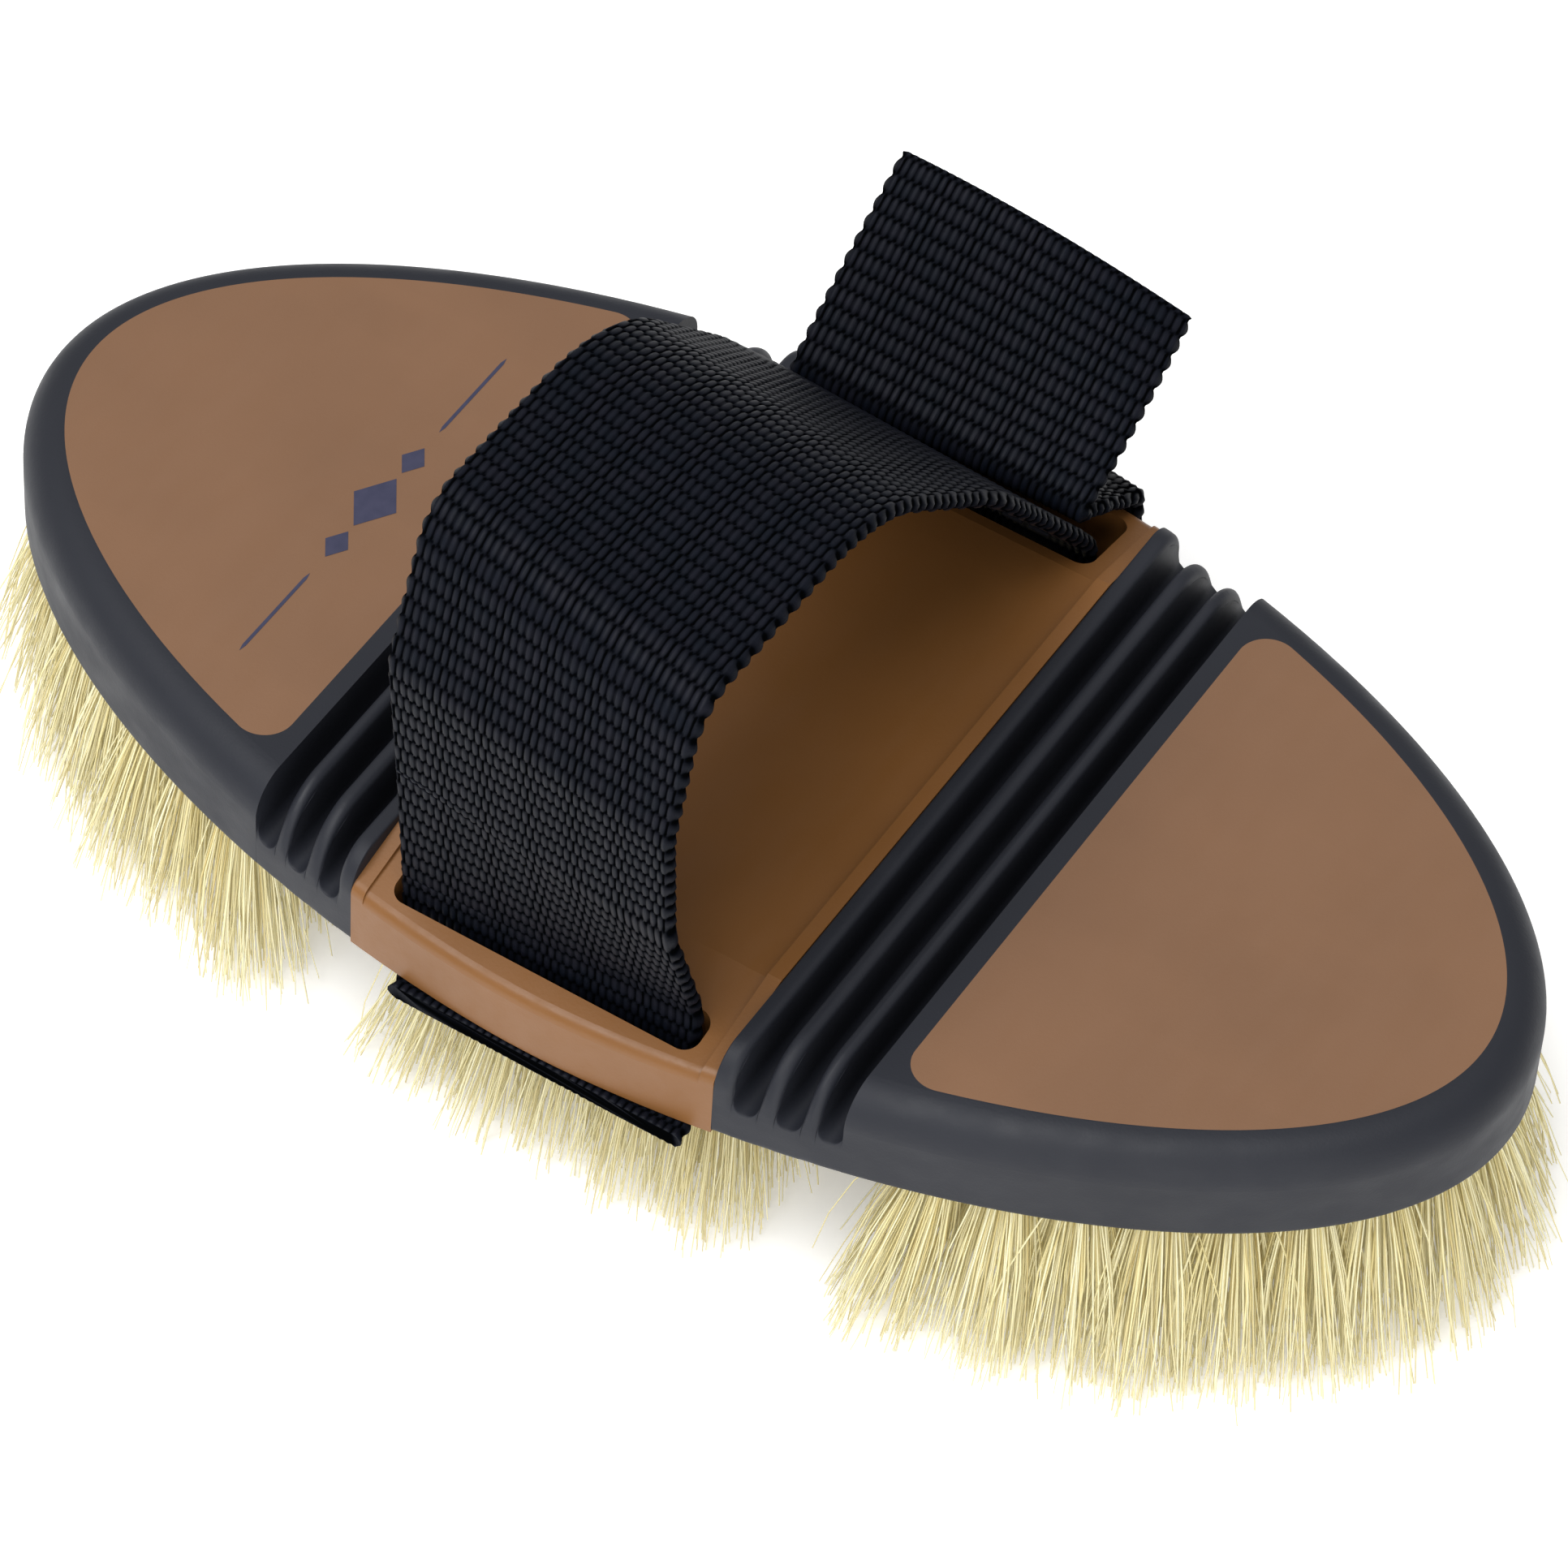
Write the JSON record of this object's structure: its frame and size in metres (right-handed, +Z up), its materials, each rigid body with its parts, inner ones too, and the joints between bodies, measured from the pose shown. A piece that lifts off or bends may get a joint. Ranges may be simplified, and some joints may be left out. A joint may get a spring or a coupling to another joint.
{
  "type": "flexible horse body brush",
  "caption": "Oval horse grooming brush: rigid deck and end plates joined by flexing rubber bellows, natural bristle tufts below, webbing hand strap over the deck.",
  "frame": {"origin": "centre of the brush on the plane of the bristle tips", "axes": "+X along the brush towards its front end, +Y towards the side the strap's free tail hangs over, +Z up out of the hand side"},
  "size_m": [0.2, 0.1146, 0.097],
  "materials": {
    "tan_plastic": "satin moulded",
    "navy_rubber": "soft matte",
    "board_plastic": "plain moulded",
    "bristle_fibre": "natural fibre",
    "staple_wire": "drawn flat wire",
    "webbing": "woven webbing",
    "sewing_thread": "bonded thread"
  },
  "bodies": {
    "centre": {"centre_deck": "tan_plastic", "centre_bristle_board": "board_plastic", "centre_tufts": "bristle_fibre", "centre_tuft_staples": "staple_wire", "front_bellows": "navy_rubber", "rear_bellows": "navy_rubber", "hand_strap": "webbing", "hem_stitches": "sewing_thread", "fold_stitches": "sewing_thread"},
    "front_section": {"front_rim": "navy_rubber", "front_plate": "tan_plastic", "front_bristle_board": "board_plastic", "front_tufts": "bristle_fibre", "front_tuft_staples": "staple_wire"},
    "rear_section": {"rear_rim": "navy_rubber", "rear_plate": "tan_plastic", "rear_bristle_board": "board_plastic", "rear_tufts": "bristle_fibre", "rear_tuft_staples": "staple_wire"},
    "strap_free_end": {"strap_tail": "webbing"}
  },
  "joints": [
    {"name": "front_flex", "type": "hinge", "parent": "centre", "child": "front_section", "pos_m": [0.0333, 0, 0.0285], "axis": [0, 1, 0], "range_deg": [-20, 20], "stiffness_Nm_per_rad": 1, "deforming": ["front_bellows"]},
    {"name": "rear_flex", "type": "hinge", "parent": "centre", "child": "rear_section", "pos_m": [-0.0333, 0, 0.0285], "axis": [0, -1, 0], "range_deg": [-20, 20], "stiffness_Nm_per_rad": 1, "deforming": ["rear_bellows"]},
    {"name": "tail_fold", "type": "hinge", "parent": "centre", "child": "strap_free_end", "pos_m": [0, 0.03783, 0.04883], "axis": [0.9903, 0.0805, -0.1135], "range_deg": [-45, 75], "stiffness_Nm_per_rad": 0.02}
  ]
}
